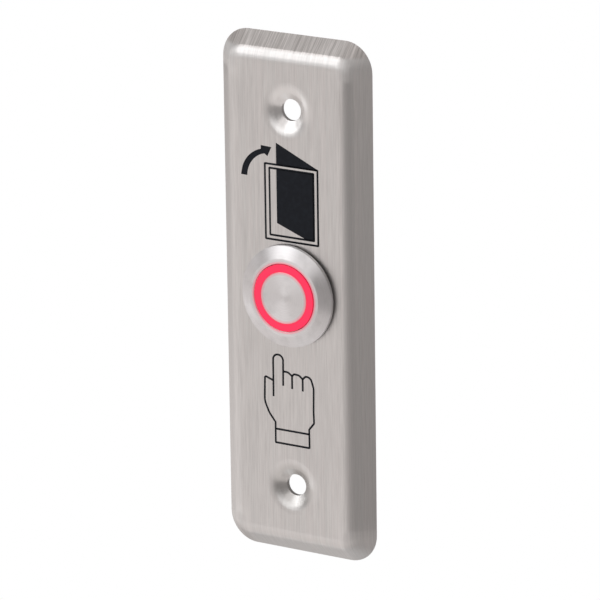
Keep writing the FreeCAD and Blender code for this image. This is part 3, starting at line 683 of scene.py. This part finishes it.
# The ridge is drawn in towards the axis at the barrel's end, as far as the end's chamfer asks.
from_axis = add(thread_group, "ShaderNodeVectorMath", {1: (1, 1, 0)}, {0: spot},
                operation="MULTIPLY")
radius = add(thread_group, "ShaderNodeVectorMath", None, {0: from_axis.outputs[0]},
             operation="LENGTH")
left_over = add(thread_group, "ShaderNodeMath", None,
                {0: given.outputs["Length"], 1: parts.outputs["Z"]}, operation="SUBTRACT")
allowed = add(thread_group, "ShaderNodeMath", None,
              {0: left_over.outputs[0], 1: given.outputs["Chamfer"]}, operation="ADD")
shrink = add(thread_group, "ShaderNodeMath", None,
             {0: allowed.outputs[0], 1: radius.outputs["Value"]}, operation="DIVIDE")
shrink = add(thread_group, "ShaderNodeMath", {1: 1.0}, {0: shrink.outputs[0]}, operation="MINIMUM")
kept = add(thread_group, "ShaderNodeCombineXYZ", {"Z": 1.0},
           {"X": shrink.outputs[0], "Y": shrink.outputs[0]})
drawn_in = add(thread_group, "ShaderNodeVectorMath", None, {0: spot, 1: kept.outputs[0]},
               operation="MULTIPLY")
chamfered = add(thread_group, "GeometryNodeSetPosition", None, {"Geometry": ridge.outputs[0],
                "Position": drawn_in.outputs[0]})
along = add(thread_group, "ShaderNodeCombineXYZ", {"Z": switch_height}, {"Y": given.outputs["Start"]})
turned_in = add(thread_group, "GeometryNodeTransform", {"Rotation": (-math.pi / 2, 0, 0)},
                {"Geometry": chamfered.outputs[0], "Translation": along.outputs[0]})
joined = add(thread_group, "GeometryNodeJoinGeometry")
for source in (given.outputs["Geometry"], turned_in.outputs[0]):
    thread_group.links.new(source, joined.inputs[0])
real = add(thread_group, "GeometryNodeRealizeInstances", None, {"Geometry": joined.outputs[0]})
made = add(thread_group, "GeometryNodeSetMaterial", None, {"Geometry": real.outputs[0],
           "Material": given.outputs["Metal"]})
thread_group.links.new(made.outputs[0], result.inputs["Geometry"])
chamfer_radius = thread_radius - thread_end_chamfer + thread_pitch / 2
housing = grown("threaded_housing", housing_body, thread_group, Radius=thread_root_radius,
                Length=ridge_length, Turns=ridge_length / thread_pitch, Start=ridge_from,
                Chamfer=chamfer_radius, Metal=turned)
housing.data.shade_smooth()
housing.data.set_sharp_from_angle(angle=sharp_angle)
housing.data.materials.clear()
for finish in (turned, faced):
    housing.data.materials.append(finish)
land_tolerance = bore_edge / 4
for face in housing.data.polygons:
    face.material_index = int(face.center.y < head_front + land_tolerance)
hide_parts("switch_housing")
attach(housing, "plate")


# Panel seal
# A flat ring of black nitrile rubber, die-cut from sheet, matt and nearly black. It is squeezed
# between the switch's head and the plate, where only its dark edge shows.


def mottled(name, dark_hex, light_hex, patch, gloss, relief=0.0, **sockets):
    """A material of two close colours in patches of a real size, which also vary its gloss."""
    material, tree, shader = new_surface(name, **sockets)
    spot = add(tree, "ShaderNodeTexCoord").outputs["Object"]
    cloud = add(tree, "ShaderNodeTexNoise", {"Scale": 1 / patch, "Detail": 4.0}, {"Vector": spot})
    cloud = cloud.outputs["Fac"]
    share = add(tree, "ShaderNodeMapRange", {"From Min": noise_core[0], "From Max": noise_core[1]},
                {"Value": cloud})
    colour = add(tree, "ShaderNodeMix", {"A": linear(dark_hex), "B": linear(light_hex)},
                 {"Factor": share.outputs["Result"]}, data_type="RGBA")
    rough = add(tree, "ShaderNodeMapRange", {"To Min": gloss[0], "To Max": gloss[1]}, {"Value": cloud})
    tree.links.new(colour.outputs["Result"], shader.inputs["Base Color"])
    tree.links.new(rough.outputs["Result"], shader.inputs["Roughness"])
    if relief:
        bumps = add(tree, "ShaderNodeBump", {"Distance": relief}, {"Height": cloud})
        tree.links.new(bumps.outputs[0], shader.inputs["Normal"])
    return material


rubber = mottled("black nitrile rubber", "141414", "1E1D1C", patch=0.12 * mm, gloss=(0.6, 0.8),
                 relief=0.01 * mm)
dress("panel_seal", rubber)


# Hex nut
# Cut from hexagonal brass bar, tapped M19 by 1 and plated with nickel, which leaves it a satin
# grey with a little yellow in it. It pulls the switch's head against the plate from behind.
nickel = mottled("nickel-plated brass", "BDB6A8", "CFC9BD", patch=1.5 * mm, gloss=(0.22, 0.38),
                 relief=0.002 * mm, Metallic=1.0)
dress("hex_nut", nickel)


# Button cap
# A stainless disc faced on the lathe, with a pin behind it that is pressed into the light guide.
# It takes the same satin circles as the housing's front, about the same axis.
dress("button_cap", faced)


# Light ring
# A clear red polycarbonate light guide with a frosted front, lit from behind by six lamp chips,
# so the band round the cap glows evenly. Its rim is a shade darker, where it turns away.
ring_hex = "FF1850"
ring_rim_hex = "C81C40"
ring_body_hex = "8C0F22"
ring_level = 0.92
rim_reach = 0.12 * mm
ring_middle = (ring_inner + ring_outer) / 2
ring_half = (ring_outer - ring_inner) / 2

guide, tree, shader = new_surface("lit polycarbonate light guide", Roughness=0.35, IOR=1.58)
shader.inputs["Base Color"].default_value = linear(ring_body_hex)
shader.inputs["Emission Strength"].default_value = ring_level
spot = add(tree, "ShaderNodeTexCoord").outputs["Object"]
centred = add(tree, "ShaderNodeMapping", {"Location": (0, 0, -switch_height)}, {"Vector": spot})
flat = add(tree, "ShaderNodeVectorMath", {1: (1, 0, 1)}, {0: centred.outputs[0]}, operation="MULTIPLY")
radius = add(tree, "ShaderNodeVectorMath", None, {0: flat.outputs[0]}, operation="LENGTH")
off_middle = add(tree, "ShaderNodeMath", {1: ring_middle}, {0: radius.outputs["Value"]},
                 operation="SUBTRACT")
off_middle = add(tree, "ShaderNodeMath", None, {0: off_middle.outputs[0]}, operation="ABSOLUTE")
at_rim = add(tree, "ShaderNodeMapRange", {"From Min": ring_half - rim_reach, "From Max": ring_half},
             {"Value": off_middle.outputs[0]}, interpolation_type="SMOOTHSTEP")
lit = add(tree, "ShaderNodeMix", {"A": linear(ring_hex), "B": linear(ring_rim_hex)},
          {"Factor": at_rim.outputs["Result"]}, data_type="RGBA")
tree.links.new(lit.outputs["Result"], shader.inputs["Emission Color"])
dress("light_ring", guide)


# Plunger and its seal
# The plunger is moulded from natural acetal, waxy and nearly white, and carries the button. A
# small O-ring of black nitrile rubber in its groove keeps rain out of the contacts.
acetal = mottled("natural acetal", "D9D8D0", "E4E3DC", patch=2.0 * mm, gloss=(0.28, 0.42),
                 relief=0.003 * mm, Subsurface_Weight=0.08, Subsurface_Scale=0.4 * mm)
dress("plunger", acetal)
dress("plunger_seal", rubber)


# Springs
# Both are wound from hard-drawn stainless wire: the larger one returns the button, and the small
# one presses the contact arm forward. Drawing leaves the wire bright with a faint greyness.
drawn_wire = mottled("drawn spring wire", "A8A8AA", "BEBFC0", patch=0.4 * mm, gloss=(0.2, 0.34),
                     Metallic=1.0)
for spring in ("return_spring", "contact_spring"):
    dress(spring, drawn_wire)


# Lamp board
# A white-masked ring of glass-filled epoxy with six lamp chips under the light guide and one
# chip resistor. The chips' faces are pale yellow, from the phosphor in their clear resin.
solder_mask = mottled("white solder mask", "E2E3DF", "ECEDEA", patch=1.2 * mm, gloss=(0.3, 0.45))
phosphor = mottled("phosphor resin", "E0C860", "EBD984", patch=0.3 * mm, gloss=(0.12, 0.25),
                   Coat_Weight=0.4)
thick_film = mottled("thick-film resistor", "18181A", "26262A", patch=0.4 * mm, gloss=(0.35, 0.5))
dress("led_board", solder_mask)
dress("led_chips", phosphor)
dress("led_resistor", thick_film)


# Contact block and base
# Both are moulded from black glass-filled polyester, which is matt and faintly cloudy where it
# flowed. The base snaps into the barrel's end and holds the five terminals in slots.
mark_reach = 0.6
mark_half_stroke = 0.17
mark_height = 0.12 * mm
mark_inset = 2.6
polyester = mottled("glass-filled polyester", "17181A", "232427", patch=0.5 * mm,
                    gloss=(0.45, 0.65), relief=0.006 * mm)
dress("contact_block", polyester)
dress("terminal_base", polyester)

# A plus and a minus stand proud of the base's rear pad, beside the lamp's two lugs.
pad_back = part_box("terminal_base")[1].y
far, near = mark_reach, mark_half_stroke
mark_outlines = {
    "plus": [(far, -near), (far, near), (near, near), (near, far), (-near, far), (-near, near),
             (-far, near), (-far, -near), (-near, -near), (-near, -far), (near, -far), (near, -near)],
    "minus": [(far, -near), (far, near), (-far, near), (-far, -near)],
}
for name, outline in mark_outlines.items():
    low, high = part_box("terminal_led_" + name)
    lug_x, lug_z = (low.x + high.x) / 2 / mm, (low.z + high.z) / 2 / mm - switch_height / mm
    inwards = 1 - mark_inset / math.hypot(lug_x, lug_z)
    x, z = lug_x * inwards, lug_z * inwards + switch_height / mm
    slab("mark_" + name, [[(x + a, z + b) for a, b in outline]], pad_back - mark_height,
         pad_back + mark_height, polyester, "plate")


# Terminals and contacts
# Blanked and bent from brass strip and plated with silver, which dulls unevenly and yellows a
# little. The rivets that make and break the circuit are solid silver alloy, and brighter.
silver_plate = mottled("silver-plated brass", "C6BFAE", "D8D3C6", patch=0.9 * mm,
                       gloss=(0.25, 0.42), relief=0.002 * mm, Metallic=1.0)
contact_alloy = mottled("silver contact alloy", "D4D1CB", "E4E2DE", patch=0.4 * mm,
                        gloss=(0.18, 0.3), Metallic=1.0)
for terminal in ("terminal_common", "terminal_normally_open", "terminal_normally_closed",
                 "terminal_led_plus", "terminal_led_minus", "contact_arm"):
    dress(terminal, silver_plate)
for rivet in ("fixed_contact_rivets", "moving_contact_rivet"):
    dress(rivet, contact_alloy)
